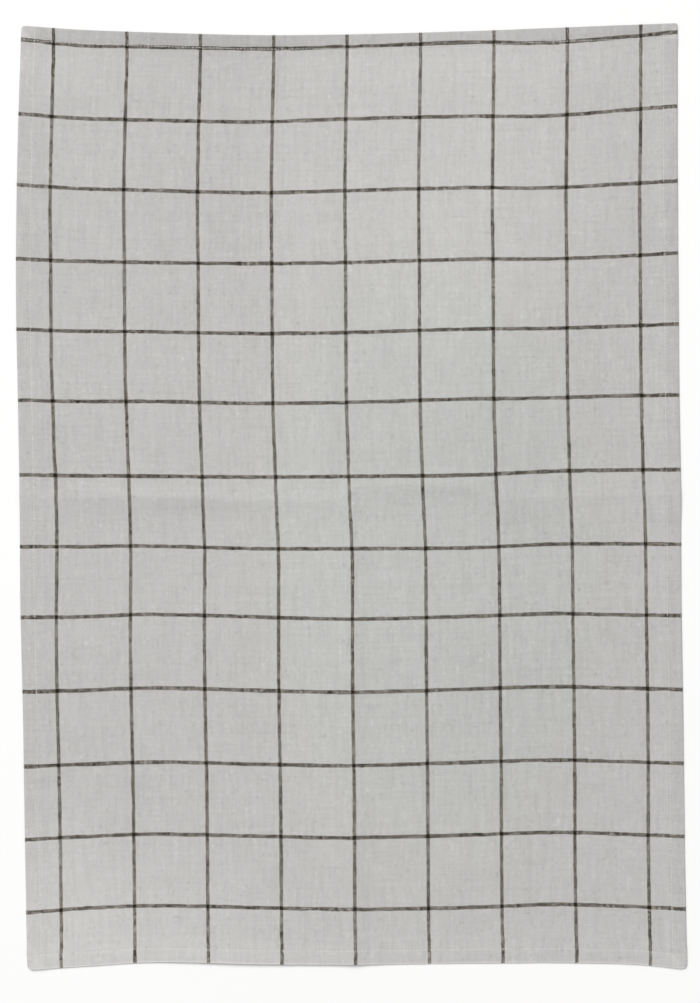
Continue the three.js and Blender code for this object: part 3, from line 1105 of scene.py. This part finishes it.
def build_thread_material():
    """Off-white spun thread with slanting plies and slight changes of tone."""
    material, tree, shader = new_material("sewing_thread")
    place = add_node(tree, "TexCoord").outputs["Object"]
    bands = add_node(tree, "TexWave", {"Vector": place, "Scale": PLY_SCALE}, bands_direction="DIAGONAL")
    spots = add_node(tree, "TexNoise", {"Vector": place, "Scale": SPOT_SCALE, "Detail": 1.0})
    feed(tree, blend(tree, spots.outputs[0], THREAD_COLOUR, THREAD_SHADE), shader.inputs["Base Color"])
    relief = {"Height": bands.outputs[1], "Distance": PLY_HEIGHT, "Strength": PLY_STRENGTH}
    bump = add_node(tree, "Bump", relief)
    feed(tree, bump.outputs[0], shader.inputs["Normal"])
    shader.inputs["Roughness"].default_value = THREAD_ROUGHNESS
    shader.inputs["Sheen Weight"].default_value = THREAD_SHEEN
    return material


stitching.data.materials.append(build_thread_material())

# %% [markdown]
# The pieces on their body
#
# Both pieces ride on the one body, and the solid towel that they stand for is hidden.

for piece in (towel, stitching):
    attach(piece, "root")
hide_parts("towel")

# %% [markdown]
# The studio
#
# The floor is a plain pale surface under the cloth. One large soft light stands far away to the upper left,
# 50 degrees above the table, so it is even over the cloth and still brings out the folds by their slopes.
# A pale surrounding light fills the shadows. The picture's colours are shown as they are, with no film
# curve.

# %% Floor
FLOOR_HALF = 12
FLOOR_DROP = 0.1 * MM
FLOOR_COLOUR = (0.93, 0.93, 0.925, 1)
FLOOR_ROUGHNESS = 0.8
FLOOR_SPECULAR = 0.1


def build_floor():
    """A wide flat square just under the cloth."""
    mesh = bpy.data.meshes.new("floor")
    corners = [(-1, -1), (1, -1), (1, 1), (-1, 1)]
    mesh.from_pydata([(x * FLOOR_HALF, y * FLOOR_HALF, -FLOOR_DROP) for x, y in corners], [], [(0, 1, 2, 3)])
    floor = bpy.data.objects.new("floor", mesh)
    bpy.context.collection.objects.link(floor)
    material, _, shader = new_material("floor_paint")
    shader.inputs["Base Color"].default_value = FLOOR_COLOUR
    shader.inputs["Roughness"].default_value = FLOOR_ROUGHNESS
    shader.inputs["Specular IOR Level"].default_value = FLOOR_SPECULAR
    mesh.materials.append(material)
    return floor


floor = build_floor()

# %% Lights
KEY_DISTANCE = 14
KEY_SIZE = 8.5
KEY_ELEVATION = math.radians(50)
KEY_AZIMUTH = math.radians(122)
KEY_POWER = 1600
FILL_STRENGTH = 0.5


def build_key_light():
    """A square soft light, turned to face the middle of the cloth."""
    data = bpy.data.lights.new("key_light", "AREA")
    data.size = KEY_SIZE
    data.energy = KEY_POWER
    light = bpy.data.objects.new("key_light", data)
    level = math.cos(KEY_ELEVATION) * KEY_DISTANCE
    height = math.sin(KEY_ELEVATION) * KEY_DISTANCE
    light.location = (level * math.cos(KEY_AZIMUTH), level * math.sin(KEY_AZIMUTH), height)
    light.rotation_euler = (math.pi / 2 - KEY_ELEVATION, 0, KEY_AZIMUTH + math.pi / 2)
    bpy.context.collection.objects.link(light)


def build_fill_light():
    """The same pale light from all round."""
    world = bpy.data.worlds.new("surroundings")
    world.use_nodes = True
    background = world.node_tree.nodes["Background"]
    background.inputs["Color"].default_value = (1, 1, 1, 1)
    background.inputs["Strength"].default_value = FILL_STRENGTH
    bpy.context.scene.world = world


build_key_light()
build_fill_light()
bpy.context.scene.view_settings.view_transform = "Standard"
